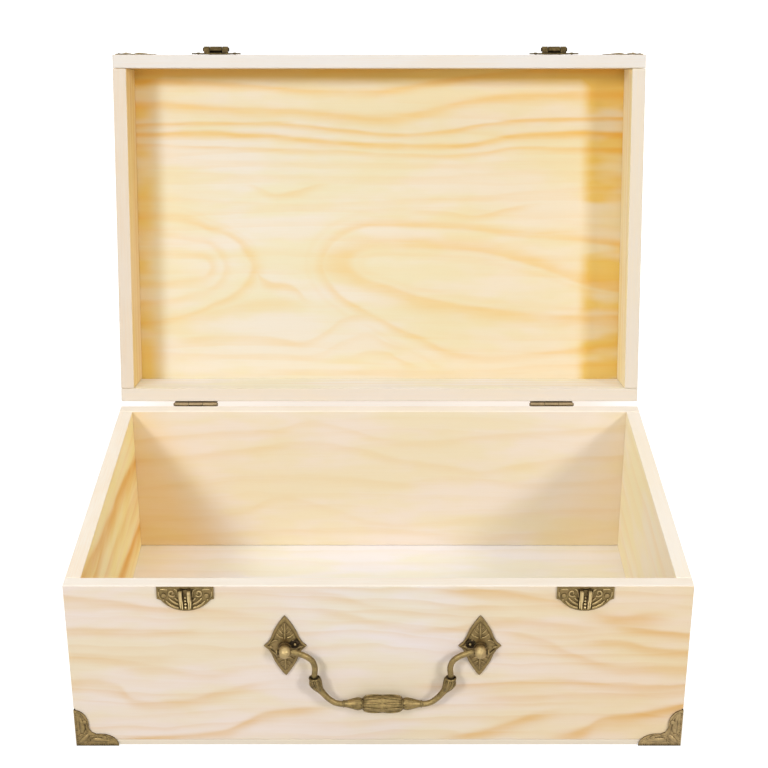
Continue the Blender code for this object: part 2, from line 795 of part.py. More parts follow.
def main():
    clear_scene()
    pine = make_material("pine", (0.83, 0.69, 0.48), 0.62, 0.0)
    bronze = make_material("antique_bronze", (0.27, 0.20, 0.085), 0.42, 0.85)
    body = make_empty("body", (0.0, 0.0, 0.0))
    axis_z = body_height + rim_gap / 2
    lid = make_empty("lid_hinge", (0.0, back_y + hinge_out, axis_z), body, -open_angle)
    nail = nail_mesh()

    # Wooden case and lid
    case_names = ("front_board", "back_board", "left_board", "right_board")
    case_low = panel + glue_gap
    make_case(case_names, pine, body, back_y, case_low, body_height)
    make_panel("bottom_panel", pine, body, back_y, 0.0)
    lid_names = tuple("lid_" + name for name in case_names)
    lid_high = lid_rim_z + lid_height - panel
    make_case(lid_names, pine, lid, -hinge_out, lid_rim_z, lid_high - glue_gap)
    make_panel("lid_top_panel", pine, lid, -hinge_out, lid_high)

    # Metal corners, on the box's front feet and the lid's front top
    proud = corner_sheet + seat_gap
    for word, side in (("left", -1), ("right", 1)):
        end_x = side * box_width / 2
        foot = (end_x, front_y - proud, 0.0)
        crown = (end_x + side * proud, lid_front_y - proud, lid_rim_z + lid_height + proud)
        make_corner(f"{word}_foot_corner", bronze, body, foot, -side, 1)
        cut_corner_seats(bpy.data.objects, word, foot, -side)
        make_corner(f"{word}_lid_corner", bronze, lid, crown, -side, -1)
        places = ((corner_nail_in, corner_nail_along), (corner_nail_along, corner_nail_in))
        for number, (across, along) in enumerate(places, 1):
            for kind, carrier, wood, corner, up in (
                ("foot", body, "front_board", foot, 1),
                ("lid", lid, "lid_front_board", crown, -1),
            ):
                at = (corner[0] - side * across, corner[1], corner[2] + up * along)
                plate = f"{word}_{kind}_corner"
                drive_nail(f"{plate}_nail_{number}", nail, bronze, carrier, plate, wood, at, -1)

    # Latches
    knuckle_z = lid_rim_z + knuckle_up
    knuckle_y = lid_front_y - knuckle_out
    latch_pin_half = tongue_width / 2
    latch_pin = pin_mesh(
        "latch_pin", latch_pin_radius, latch_pin_head, latch_pin_half, hinge_pin_head_length
    )
    for word, x in (("left", latch_left_x), ("right", latch_right_x)):
        catch_edge = body_height - latch_rim_inset
        catch = make_latch_plate(f"{word}_catch_plate", bronze, body, x, front_y, catch_edge, -1)
        add_keeper(catch, x, axis_z + knuckle_z)
        hasp_edge = lid_rim_z + latch_rim_inset
        hasp = make_latch_plate(f"{word}_hasp_plate", bronze, lid, x, lid_front_y, hasp_edge, 1)
        add_lugs(hasp, x, knuckle_y, knuckle_z)
        bore(hasp.name, (x, knuckle_y, knuckle_z), "X", latch_pin_radius + fit_gap, 2 * tongue_width)
        swing = make_empty(f"{word}_latch_axis", (x, knuckle_y, knuckle_z), lid)
        make_tongue(f"{word}_latch_tongue", bronze, swing)
        make_pin(f"{word}_latch_pin", latch_pin, bronze, lid, (x, knuckle_y, knuckle_z))
        for number, side in enumerate((-1, 1), 1):
            nail_x = x + side * latch_nail_x
            at = (nail_x, front_y - plate_face + latch_sink, catch_edge - latch_nail_down)
            name = f"{word}_catch_nail_{number}"
            drive_nail(name, nail, bronze, body, catch.name, "front_board", at, -1)
            at = (nail_x, lid_front_y - plate_face + latch_sink, hasp_edge + latch_nail_down)
            name = f"{word}_hasp_nail_{number}"
            drive_nail(name, nail, bronze, lid, hasp.name, "lid_front_board", at, -1)

    # Handle
    post = turned(post_profile(), post_sides, "handle_post")
    screw = screw_mesh()
    for word, side in (("left", -1), ("right", 1)):
        x = handle_x + side * handle_span / 2
        plate = make_handle_plate(f"{word}_handle_plate", bronze, body, x)
        seat = (x, front_y, handle_z)
        stud = make_object(f"{word}_handle_post", post, bronze, body, seat, math.pi / 2)
        inside = (x, front_y + board, handle_z)
        fixing = make_object(f"{word}_handle_screw", screw, bronze, body, inside, math.pi / 2)
        cut_screw_slot(fixing, x, front_y + board)
        for target in (plate.name, "front_board"):
            bore(target, seat, "Y", post_spigot_radius + fit_gap, 3 * board)
        pivot = (x, front_y - pivot_out, handle_z)
        bore(stud.name, pivot, "X", bail_pin_radius + seat_gap, 3 * post_ball_radius)
    swing = make_empty("bail_axis", (handle_x, front_y - pivot_out, handle_z), body)
    make_bail("handle_bail", bronze, swing)

    # Hinges
    third = (hinge_width - 2 * seat_gap) / 3
    outer = ((0.0, third), (hinge_width - third, hinge_width))
    middle = ((third + seat_gap, hinge_width - third - seat_gap),)
    axle = pin_mesh(
        "hinge_pin", hinge_pin_radius, hinge_pin_head, hinge_width / 2, hinge_pin_head_length
    )
    hinge_y = back_y + hinge_out
    leaf_face = seat_gap + hinge_sheet - hinge_out
    for word, x in (("left", hinge_left_x), ("right", hinge_right_x)):
        centre = (x, hinge_y, axis_z)
        low = make_leaf(f"{word}_hinge_body_leaf", bronze, body, centre, -1, outer)
        high = make_leaf(f"{word}_hinge_lid_leaf", bronze, lid, (x, 0.0, 0.0), 1, middle)
        make_pin(f"{word}_hinge_pin", axle, bronze, body, centre)
        bore(low.name, centre, "X", hinge_pin_radius + fit_gap, 2 * hinge_width)
        bore(high.name, (x, 0.0, 0.0), "X", hinge_pin_radius + fit_gap, 2 * hinge_width)
        for number, side in enumerate((-1, 1), 1):
            nail_x = x + side * hinge_nail_x
            at = (nail_x, leaf_face, hinge_nail_down)
            name = f"{word}_hinge_lid_nail_{number}"
            drive_nail(name, nail, bronze, lid, high.name, "lid_back_board", at, 1)
            at = (nail_x, hinge_y + leaf_face, axis_z - hinge_nail_down)
            name = f"{word}_hinge_body_nail_{number}"
            drive_nail(name, nail, bronze, body, low.name, "back_board", at, 1)

    cut_bores(bpy.data.objects)


main()
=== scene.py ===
"""An open pine keepsake box in the form of a small suitcase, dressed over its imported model."""

import math

import bmesh
import bpy
from mathutils import Matrix, Vector


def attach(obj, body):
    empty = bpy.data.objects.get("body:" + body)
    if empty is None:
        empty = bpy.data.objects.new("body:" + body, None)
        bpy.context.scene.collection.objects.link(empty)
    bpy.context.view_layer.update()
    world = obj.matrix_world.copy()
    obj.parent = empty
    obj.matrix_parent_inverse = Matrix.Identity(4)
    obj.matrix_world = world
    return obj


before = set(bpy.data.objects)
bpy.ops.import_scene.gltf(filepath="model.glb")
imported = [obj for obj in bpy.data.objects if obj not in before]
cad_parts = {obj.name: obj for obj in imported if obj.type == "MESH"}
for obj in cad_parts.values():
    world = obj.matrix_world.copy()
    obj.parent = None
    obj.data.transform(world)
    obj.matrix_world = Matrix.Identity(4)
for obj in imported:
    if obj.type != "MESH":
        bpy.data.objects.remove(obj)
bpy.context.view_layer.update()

# Places and lengths are in mm, from the middle of the body's foot or, for the lid, from its hinge line
MM = 0.001
# The lid's own frame, in which it lies as it does when shut
LID = Matrix.Translation(Vector((0.0, 100.8, 92.2)) * MM) @ Matrix.Rotation(math.radians(-104.9), 4, "X")
HALF_WIDTH = 150.0
FRONT, LID_FRONT = -99.0, -199.8
LID_TOP = 37.2
# How far before the hinge line the clear face of the lid's panel starts
PANEL_FOOT = 9.3
# The length of board that the curve of a drawn year line spans
COURSE_SPAN = 320.0
CATCH_TOP = 91.7
CATCH_X = {"left": -91.8, "right": 98.4}
# How far sheet metal stands off the wood
SHEET_OUT = 0.9
# The handle's middle and pivots, with the grip's line as seen from them
HANDLE_X, HANDLE_Z, HANDLE_HALF = 2.01, 58.97, 46.9
PIVOT_Y = -105.5
GRIP_Z = -29.8


def srgb(red, green, blue):
    """An 8-bit sRGB colour as the linear values that a shader takes."""
    return tuple(
        c / 12.92 if c <= 0.04045 else ((c + 0.055) / 1.055) ** 2.4
        for c in (red / 255, green / 255, blue / 255)
    )


class Wire:
    """A shader value that arithmetic can be written with. Each step is one Math node."""

    def __init__(self, tree, socket):
        self.tree = tree
        self.socket = socket

    def step(self, operation, *others, clamp=False):
        made = self.tree.nodes.new("ShaderNodeMath")
        made.operation = operation
        made.use_clamp = clamp
        for slot, value in zip(made.inputs, (self, *others)):
            plug(self.tree, slot, value)
        return Wire(self.tree, made.outputs[0])

    def __add__(self, other):
        return self.step("ADD", other)

    def __sub__(self, other):
        return self.step("SUBTRACT", other)

    def __mul__(self, other):
        return self.step("MULTIPLY", other)

    def __truediv__(self, other):
        return self.step("DIVIDE", other)

    def __neg__(self):
        return self.step("MULTIPLY", -1.0)

    def clamped(self):
        return self.step("ADD", 0.0, clamp=True)

    def between(self, low, high):
        """0 below low, 1 above high, and smooth from one to the other."""
        made = self.tree.nodes.new("ShaderNodeMapRange")
        made.interpolation_type = "SMOOTHSTEP"
        for name, value in (("Value", self), ("From Min", low), ("From Max", high)):
            plug(self.tree, made.inputs[name], value)
        return Wire(self.tree, made.outputs[0])


def plug(tree, slot, value):
    """Links a Wire to an input, or sets a constant on it."""
    if isinstance(value, Wire):
        tree.links.new(value.socket, slot)
    else:
        slot.default_value = value


def add(tree, kind, output=0, settings=None, **inputs):
    """A node with its inputs, named with _ for a space, as a Wire on one output."""
    made = tree.nodes.new(kind)
    for name, value in (settings or {}).items():
        setattr(made, name, value)
    for name, value in inputs.items():
        plug(tree, made.inputs[name.replace("_", " ")], value)
    return Wire(tree, made.outputs[output])


def noise(tree, x, y, z, detail=2.0, roughness=0.5):
    """Noise in 0 to 1 at a point given by three wires."""
    place = add(tree, "ShaderNodeCombineXYZ", X=x, Y=y, Z=z)
    return add(
        tree, "ShaderNodeTexNoise", "Fac", Vector=place, Scale=1.0, Detail=detail, Roughness=roughness,
    )


def cloudy(tree, place, scale):
    """Noise in 0 to 1 at a place, with a rough fine part."""
    return add(tree, "ShaderNodeTexNoise", "Fac", Vector=place, Scale=scale, Detail=3.0, Roughness=0.6)


def mix(tree, share, first, second, blend="MIX"):
    """Mixes two colours."""
    made = tree.nodes.new("ShaderNodeMix")
    made.data_type = "RGBA"
    made.blend_type = blend
    plug(tree, made.inputs["Factor"], share)
    for slot, value in ((made.inputs[6], first), (made.inputs[7], second)):
        plug(tree, slot, value if isinstance(value, Wire) else (*value, 1.0))
    return Wire(tree, made.outputs[2])


def new_material(name):
    """A material, its node tree and its shader."""
    made = bpy.data.materials.new(name)
    made.use_nodes = True
    tree = made.node_tree
    return made, tree, tree.nodes["Principled BSDF"]


def seen_plainly(tree):
    """1 for rays from the camera and for what metal and glass show of the place, else 0."""
    rays = tree.nodes.new("ShaderNodeLightPath")
    camera_ray, glossy, through = (
        Wire(tree, rays.outputs[f"Is {kind} Ray"]) for kind in ("Camera", "Glossy", "Transmission")
    )
    return (camera_ray + glossy + through).clamped()


def board_axes(tree, carrier, order):
    """The point on a board as (along the grain, across it, through it), in metres.

    The order names the axes of the body's frame, or of the shut lid's, that these are.
    """
    place = add(tree, "ShaderNodeTexCoord", "Object")
    if carrier == "lid":
        back = LID.inverted()
        place = add(
            tree, "ShaderNodeMapping", Vector=place,
            Location=back.to_translation(), Rotation=back.to_euler(),
        )
    split = tree.nodes.new("ShaderNodeSeparateXYZ")
    plug(tree, split.inputs[0], place)
    return [Wire(tree, split.outputs[axis]) for axis in order]


def course(along, points):
    """Where a drawn year line runs: the place across the board, in mm, at each place along it."""
    node = along.tree.nodes.new("ShaderNodeFloatCurve")
    curve = node.mapping.curves[0]
    spots = [(x / COURSE_SPAN + 0.5, y / COURSE_SPAN) for x, y in points]
    curve.points[0].location, curve.points[1].location = spots[0], spots[-1]
    for spot in spots[1:-1]:
        curve.points.new(*spot)
    node.mapping.update()
    plug(along.tree, node.inputs["Value"], along / COURSE_SPAN + 0.5)
    return Wire(along.tree, node.outputs[0]) * COURSE_SPAN


def grown(gap, width, tail):
    """The amber over a year line's width: it ends crisply above, and fades slowly below."""
    above = gap.step("MAXIMUM", 0.0) / width
    below = gap.step("MINIMUM", 0.0) / (width * tail)
    return (-(above * above + below * below)).step("EXPONENT")


def year_lines(along, across, wide, rows):
    """The amber of drawn year lines, for most() to join.

    A row gives a line's width, the depth of its amber, the places where it fades out at its ends
    if it has any, how slowly it fades below, and its course.
    """
    made = []
    for width, depth, ends, tail, points in rows:
        amber = grown(across - course(along, points), wide * width, tail) * depth
        if ends:
            first, last = ends
            risen = along.between(first - 10.0, first + 12.0)
            amber = amber * (risen - along.between(last - 12.0, last + 10.0))
        made.append(amber)
    return made


def loop(along, across, upper, lower, tip, reach, way=1):
    """How far a point lies in or out of a pointed loop: 1 on its line, less inside and more outside.

    The loop runs between an upper and a lower course, and closes in a round end that starts at
    the tip and is the reach long. The way is 1 where the end is on the left and -1 on the right.
    The second value is half the loop's height there, in mm.
    """
    top, foot = course(along, upper), course(along, lower)
    half = (top - foot) * 0.5
    side = (across - (top + foot) * 0.5) / half
    end = ((along - tip) * way).step("MINIMUM", 0.0) / reach
    return (side * side + end * end).step("SQRT"), half


def most(first, *others):
    """The largest of some values."""
    for other in others:
        first = first.step("MAXIMUM", other)
    return first


# A deeper amber, for the wood's own colour and for painted shade, and a grey for painted shade
DEEP_AMBER_AND_SHADE, SHADE = srgb(255, 224, 136), srgb(222, 228, 235)


def pine(name, carrier, order, seed, wander, amber, cream, gold, rings=9.0, drawn=None,
         pale=None, rim=None, amber_and_shade=None, dim=None):
    """Planed pine: amber year lines that wander along the grain, faint patches and fine fibres.

    Lines may also be drawn where the board shows them. Pale bares the sanded edges to the rim's
    colour, a deeper amber is laid where the wood has one and where amber shade is painted in, and
    dim is where it is a little greyer, as painted shade. Each of the four is a function of the point
    on the board.
    """
    made, tree, shader = new_material(name)
    u, v, w = board_axes(tree, carrier, order)
    across = v + w * 0.45
    slow = noise(tree, u * 6.0 + seed, across * 22.0 + seed, w * 16.0, 2.0) - 0.5
    quick = noise(tree, u * 30.0 + seed, across * 110.0, w * 60.0, 2.0) - 0.5
    tone = noise(tree, u * 13.0 + seed, across * 42.0, w * 20.0, 3.0, 0.6)
    bend = slow * wander + quick * (wander * 0.22)
    lines = (across / MM + bend) / rings + seed
    phase = lines.step("FRACT")
    crest = phase.between(0.28, 0.84) - phase.between(0.87, 0.99)
    thin = (lines * 3.0 + 0.4).step("FRACT").between(0.3, 0.95) * 0.5
    fade = noise(tree, u * 8.0, lines * 0.5, seed, 1.0).between(0.34, 0.62)
    patch = noise(tree, u * 11.0 + seed, lines * 0.8, seed + 3.0, 2.0).between(0.5, 0.74)
    fibre = noise(tree, u * 45.0, v * 1500.0, w * 1500.0, 3.0, 0.65) - 0.5
    fleck = noise(tree, u * 260.0, v * 2600.0, w * 2600.0, 1.0).between(0.66, 0.8)
    share = (crest * (fade * 0.8 + 0.2) + patch * 0.4 + thin * 0.16) * amber
    if drawn:
        worn = noise(tree, u * 22.0 + seed, v * 60.0, w * 60.0, 2.0).between(0.3, 0.6) * 0.4 + 0.6
        share = share + drawn(u / MM, v / MM, slow * 6.0 + quick * 3.2, tone * 1.5 + 0.35) * worn
    share = (share + fibre * 0.22 + fleck * 0.06).clamped()
    red, green, blue = cream
    whiter, yellower = srgb(red + 1, green - 1, blue + 4), srgb(red - 1, green - 3, blue - 14)
    base = mix(tree, tone.between(0.38, 0.62), whiter, yellower)
    colour = mix(tree, share, base, srgb(*gold))
    # A deeper amber: the wood's own on some boards, painted shade on others
    if amber_and_shade:
        colour = mix(tree, amber_and_shade(u / MM, v / MM, w / MM), colour, DEEP_AMBER_AND_SHADE, "MULTIPLY")
    # Painted shade: a little greyer
    if dim:
        colour = mix(tree, dim(v / MM), colour, SHADE, "MULTIPLY")
    if pale:
        sanded = mix(tree, (fibre * 0.9 + tone).between(0.35, 0.75) * 0.6, srgb(*rim), srgb(*gold))
        colour = mix(tree, pale(v / MM) * 0.92, colour, mix(tree, 0.25, srgb(*rim), sanded))
    plug(tree, shader.inputs["Base Color"], colour)
    plug(tree, shader.inputs["Roughness"], share * -0.1 + 0.62 + fibre * 0.12)
    shader.inputs["Specular IOR Level"].default_value = 0.3
    height = fibre * 0.5 + share * 0.2 - fleck * 0.3
    bump = add(tree, "ShaderNodeBump", Strength=0.35, Distance=0.00012, Height=height)
    plug(tree, shader.inputs["Normal"], bump)
    return made


POLISHED, TARNISH, OLIVE = srgb(214, 190, 138), srgb(118, 92, 62), srgb(132, 126, 70)
HOLLOW = 2.0


def bronze(name, light, dark, rub=0.0, proud=None):
    """Cast brass with an antique finish: dark in the hollows, and rubbed bright where it stands out.

    Proud gives two places in front of the body between which the metal grows brighter.
    """
    made, tree, shader = new_material(name)
    place = add(tree, "ShaderNodeTexCoord", "Object")
    near = add(tree, "ShaderNodeAmbientOcclusion", "AO", {"samples": 6}, Distance=HOLLOW * MM)
    patch = cloudy(tree, place, 330.0)
    cloud = cloudy(tree, place, 900.0)
    grain = add(tree, "ShaderNodeTexNoise", "Fac", Vector=place, Scale=3600.0, Detail=2.0)
    rubbed = near.between(0.45, 1.0) * 0.95 + (patch - 0.5) * 1.5 + (cloud - 0.5) * 0.9
    rubbed = rubbed + (grain - 0.5) * 0.3 + (rub - 0.12)
    colour = mix(tree, rubbed.clamped(), srgb(*dark), srgb(*light))
    if proud:
        out = -add(tree, "ShaderNodeSeparateXYZ", 1, Vector=place) / MM
        colour = mix(tree, out.between(*proud) * 0.75, colour, POLISHED)
    colour = mix(tree, patch.between(0.55, 0.68) * 0.4, colour, TARNISH)
    colour = mix(tree, cloud.between(0.56, 0.72) * 0.25, colour, OLIVE)
    plug(tree, shader.inputs["Base Color"], colour)
    shader.inputs["Metallic"].default_value = 0.8
    plug(tree, shader.inputs["Roughness"], cloud * 0.25 + 0.3)
    height = patch * 0.8 + cloud + grain * 0.5
    bump = add(tree, "ShaderNodeBump", Strength=0.6, Distance=0.0001, Height=height)
    plug(tree, shader.inputs["Normal"], bump)
    return made


SHARP_EDGE = math.radians(32.0)
WELD = 0.001 * MM


def round_off():
    """Modifier nodes that weld a CAD mesh and shade it smooth, but for its sharp edges."""
    tree = bpy.data.node_groups.new("round_off", "GeometryNodeTree")
    tree.interface.new_socket("Geometry", in_out="INPUT", socket_type="NodeSocketGeometry")
    tree.interface.new_socket("Geometry", in_out="OUTPUT", socket_type="NodeSocketGeometry")
    inlet, outlet = tree.nodes.new("NodeGroupInput"), tree.nodes.new("NodeGroupOutput")
    weld = tree.nodes.new("GeometryNodeMergeByDistance")
    weld.inputs["Distance"].default_value = WELD
    bare = tree.nodes.new("GeometryNodeRemoveAttribute")
    bare.inputs["Name"].default_value = "custom_normal"
    faces = tree.nodes.new("GeometryNodeSetShadeSmooth")
    edges = tree.nodes.new("GeometryNodeSetShadeSmooth")
    edges.domain = "EDGE"
    angle = tree.nodes.new("GeometryNodeInputMeshEdgeAngle")
    soft = tree.nodes.new("FunctionNodeCompare")
    soft.operation = "LESS_THAN"
    soft.inputs[1].default_value = SHARP_EDGE
    tree.links.new(angle.outputs[0], soft.inputs[0])
    tree.links.new(soft.outputs[0], edges.inputs["Shade Smooth"])
    for first, second in ((inlet, weld), (weld, bare), (bare, faces), (faces, edges), (edges, outlet)):
        tree.links.new(first.outputs[0], second.inputs[0])
    return tree


def dress(node, material):
    """Gives a CAD node its finished material."""
    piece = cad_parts[node]
    for slot in piece.material_slots:
        slot.material = material
    if not piece.material_slots:
        piece.data.materials.append(material)
    return piece


# Camera, at the photograph's angle
camera_data = bpy.data.cameras.new("camera")
camera_data.lens = 79.03
camera_data.sensor_width = 36.0
camera_data.clip_start = 0.01
camera = bpy.data.objects.new("camera", camera_data)
camera.location = Vector((2.7, -785.0, 514.0)) * MM
camera.rotation_euler = (math.radians(90.0 - 24.77), 0.0, 0.0)
bpy.context.scene.collection.objects.link(camera)
bpy.context.scene.camera = camera
bpy.context.scene.view_settings.view_transform = "Standard"


def area_light(name, location, aim, size, power):
    """A rectangular lamp at a location in metres, turned towards its aim."""
    data = bpy.data.lights.new(name, "AREA")
    data.shape = "RECTANGLE"
    data.size, data.size_y = size
    data.energy = power
    lamp = bpy.data.objects.new(name, data)
    lamp.location = location
    lamp.rotation_euler = (Vector(aim) - Vector(location)).to_track_quat("-Z", "Y").to_euler()
    bpy.context.scene.collection.objects.link(lamp)


BOX_MIDDLE = (0.0, 0.0, 0.1)
SIDE_POWER = 18.6
area_light("left_softbox", (-1.0, -1.7, 1.25), BOX_MIDDLE, (0.42, 0.42), SIDE_POWER)
area_light("right_softbox", (1.32, -1.7, 1.25), BOX_MIDDLE, (0.42, 0.42), SIDE_POWER)
area_light("front_softbox", (0.0, -2.3, 0.5), BOX_MIDDLE, (1.6, 0.8), 5.7)
area_light("back_softbox", (0.0, 1.9, 0.9), (0.0, 0.1, 0.15), (1.4, 0.9), 7.0)
area_light("top_softbox", (0.0, -0.3, 2.2), (0.0, 0.0, 0.0), (1.2, 1.2), 10.8)

AMBIENT = 0.42
WHITE = (1.0, 1.0, 1.0)
world = bpy.data.worlds.new("studio")
world.use_nodes = True
bpy.context.scene.world = world
sky = world.node_tree
plug(sky, sky.nodes["Background"].inputs["Strength"], seen_plainly(sky) * (1.0 - AMBIENT) + AMBIENT)
sky.nodes["Background"].inputs["Color"].default_value = (*WHITE, 1.0)

# Floor: white, with the box's shadow kept soft and light; behind the box, painted shade warmed as if by
# light bounced off its wood
FLOOR_HALF = 3.0
FLOOR_GREY = 0.4
PAINTED_WOOD_BOUNCE = (0.875, 0.745, 0.63)
floor_mesh = bpy.data.meshes.new("floor")
floor_bm = bmesh.new()
bmesh.ops.create_grid(floor_bm, x_segments=8, y_segments=8, size=FLOOR_HALF)
floor_bm.to_mesh(floor_mesh)
floor_bm.free()
floor = bpy.data.objects.new("floor", floor_mesh)
bpy.context.scene.collection.objects.link(floor)
floor_material, floor_tree, floor_shader = new_material("floor_white")
floor_shader.inputs["Base Color"].default_value = (FLOOR_GREY, FLOOR_GREY, FLOOR_GREY, 1.0)
floor_shader.inputs["Roughness"].default_value = 0.9
floor_shader.inputs["Specular IOR Level"].default_value = 0.0
floor_place = add(floor_tree, "ShaderNodeTexCoord", "Object")
away = add(floor_tree, "ShaderNodeVectorMath", "Value", {"operation": "LENGTH"}, Vector=floor_place)
floor_glow = away.between(0.25, 1.1) * 0.2 + 0.8
plug(floor_tree, floor_shader.inputs["Emission Strength"], seen_plainly(floor_tree) * floor_glow)
floor_x, floor_y = (add(floor_tree, "ShaderNodeSeparateXYZ", axis, Vector=floor_place) for axis in (0, 1))
# Painted shade and wood-bounce light on the floor behind the box, which shows through the gap under the lid
painted_shade_behind = floor_y.between(0.16, 0.28) - floor_y.between(0.3, 0.46)
painted_shade_behind = painted_shade_behind * (-floor_x.step("ABSOLUTE")).between(-0.19, -0.14)
plug(floor_tree, floor_shader.inputs["Emission Color"], mix(floor_tree, painted_shade_behind, WHITE, PAINTED_WOOD_BOUNCE))
floor_mesh.materials.append(floor_material)

# Boards
X, Y, Z = 0, 1, 2

# Year lines as rows of (width, depth, ends or None, tail, course)
LID_LINES = (
    (1.5, 0.45, None, 2.4, ((-150, 183), (0, 184), (60, 188), (150, 190))),
    (1.5, 0.74, None, 1.6, ((-150, 175.5), (-117, 175), (-74, 173), (-20, 170), (12, 171.5), (34, 176),
     (70, 181), (150, 183))),
    (1.9, 0.72, None, 1.6, ((-150, 162), (-128, 162), (-85, 158.5), (-52, 158.5), (-20, 156), (12, 156),
     (34, 160), (55, 165), (87, 168), (150, 169))),
    (1.0, 0.76, None, 1.8, ((-150, 150), (-60, 151), (-40, 150), (-20, 148), (10, 146), (40, 147.5),
     (60, 151), (80, 153), (150, 155))),
    (1.3, 0.95, None, 1.6, ((-150, 145), (-100, 145), (-60, 144), (-20, 140.5), (20, 139.5), (56, 140),
     (76, 143.5), (150, 145))),
    (1.0, 0.5, None, 1.8, ((-150, 138.5), (-60, 136.5), (0, 134.5), (60, 134), (80, 137), (110, 136.5),
     (150, 136))),
    (1.0, 0.14, None, 2.4, ((-150, 131), (-60, 129), (0, 128), (60, 128), (90, 130), (150, 129))),
    (1.0, 0.2, None, 2.4, ((-150, 124), (-60, 121), (0, 120), (60, 121), (90, 123), (150, 122))),
    (1.0, 0.42, (-74, -34), 2.4, ((-150, 119), (-80, 117), (-70, 113), (-63, 110), (-50, 111.5),
     (-31, 116), (150, 118))),
    (1.0, 0.2, None, 2.4, ((-150, 108), (-70, 105), (-40, 104), (0, 106), (60, 108), (90, 112),
     (150, 114))),
    (1.0, 0.4, (20, 90), 2.4, ((-150, 101), (0, 100), (35, 99.5), (55, 96.5), (80, 102), (150, 108))),
    (1.3, 0.4, (-118, 4), 2.4, ((-150, 23), (-115, 24), (-80, 25.5), (-60, 24), (-45, 22.5), (-33, 27),
     (-22, 35), (-8, 37.5), (4, 34), (150, 30))),
    (1.2, 0.22, (-150, 18), 2.4, ((-150, 15), (-60, 15), (-36, 15), (-22, 22), (-6, 26), (8, 20),
     (150, 6))),
    (1.4, 0.5, (-76, -44), 2.4, ((-150, 80), (-76, 68), (-68, 59), (-52, 55), (-42, 46), (150, 30))),
    (2.2, 0.34, (-130, -46), 2.4, ((-150, 37), (-110, 38), (-80, 44), (-60, 46), (-44, 45), (150, 40))),
    (1.0, 0.3, (-22, 24), 2.4, ((-150, 12), (-18, 13), (-6, 16), (6, 15), (16, 9), (150, 3))),
    (1.0, 0.24, (-60, 160), 2.4, ((-150, 8), (0, 5), (60, 5), (90, 7), (150, 8))),
)
FRONT_LINES = (
    (1.3, 0.6, (-128, -30), 2.4, ((-150, 1), (-125, 3), (-95, 5.5), (-76, 8), (-66, 13), (-56, 18),
     (-40, 20.5), (150, 21))),
    (1.0, 0.37, (-160, -62), 2.4, ((-150, 84.5), (-130, 82), (-110, 79), (-90, 78), (-60, 75),
     (150, 70))),
    (1.0, 0.39, (-160, -90), 2.4, ((-150, 67), (-95, 66), (150, 60))),
    (1.0, 0.29, (-160, -100), 2.4, ((-150, 53), (-120, 51), (-60, 55), (150, 55))),
    (1.0, 0.24, (-124, -70), 2.4, ((-150, 40), (-110, 45), (-80, 42), (-60, 46), (150, 50))),
    (1.4, 0.42, (-160, -58), 2.4, ((-150, 37), (-128, 35), (-118, 27), (-96, 26), (-78, 31), (-60, 36),
     (150, 40))),
    (1.0, 0.24, (-90, 60), 2.4, ((-150, 89), (-60, 89), (-20, 86), (0, 79), (60, 81), (150, 84))),
    (1.0, 0.32, (-30, 112), 2.4, ((-150, 74), (-20, 76), (0, 70), (20, 67), (60, 72), (100, 70),
     (150, 68))),
    (1.0, 0.43, (30, 96), 2.4, ((-150, 88), (30, 90), (60, 88), (84, 84), (150, 76))),
    (1.8, 0.61, (104, 136), 2.4, ((-150, 80), (100, 78), (112, 75), (128, 75), (150, 78))),
    (1.0, 0.6, (112, 160), 2.4, ((-150, 72), (110, 71), (130, 67.5), (150, 65))),
    (1.0, 0.5, (100, 160), 2.4, ((-150, 60), (100, 61), (116, 61), (132, 57), (150, 54.5))),
    (1.3, 0.43, (64, 160), 2.4, ((-150, 60), (80, 62), (92, 55), (110, 47), (140, 45), (150, 45))),
    (1.2, 0.39, (20, 160), 2.4, ((-150, 40), (30, 35), (60, 36), (90, 37.5), (120, 34), (150, 35))),
    (1.0, 0.37, (50, 160), 2.4, ((-150, 30), (60, 27), (100, 29), (130, 30), (150, 32))),
    (1.3, 0.6, (34, 84), 2.4, ((-150, 3), (34, 4), (50, 7), (62, 11), (76, 16), (96, 19), (150, 22))),
    (1.5, 0.79, (90, 160), 2.4, ((-150, 3), (90, 5), (101, 8), (108, 13), (124, 16), (140, 20),
     (150, 23))),
)
BACK_LINES = (
    (1.0, 0.23, None, 2.4, ((-150, 72), (-100, 77), (-60, 79), (-40, 84), (-20, 80), (0, 73), (30, 71),
     (60, 75), (100, 78), (150, 84))),
    (1.0, 0.23, None, 2.4, ((-150, 60), (-80, 66), (-40, 71), (-14, 67), (10, 60), (32, 57), (60, 52),
     (80, 56), (110, 61), (150, 63))),
    (1.0, 0.16, None, 2.4, ((-150, 40), (-60, 50), (-20, 48), (10, 45), (40, 49), (90, 44), (150, 50))),
    (1.0, 0.16, None, 2.4, ((-150, 24), (-80, 26), (-60, 35), (-30, 28), (0, 18), (60, 22), (90, 25),
     (150, 28))),
    (1.0, 0.2, None, 2.4, ((-150, 6), (-60, 12), (0, 14), (60, 8), (90, 11), (125, 13), (150, 16))),
)
LEFT_LINES = (
    (1.5, 0.8, None, 2.4, ((-150, 92), (-70, 86), (-40, 79), (0, 74), (40, 70), (60, 66), (90, 60),
     (150, 50))),
    (1.0, 0.7, (-100, 0), 2.4, ((-150, 80), (-70, 73), (-45, 71), (-20, 74), (30, 75), (90, 70),
     (150, 60))),
    (1.3, 0.85, None, 2.4, ((-150, 48), (-70, 40), (-20, 33), (40, 24), (90, 17), (150, 10))),
    (1.0, 0.3, None, 2.4, ((-150, 64), (-70, 58), (90, 44), (150, 40))),
)


def panel_up(y):
    """How far up the open lid's panel a point is, from the foot of its clear face."""
    return -y - PANEL_FOOT


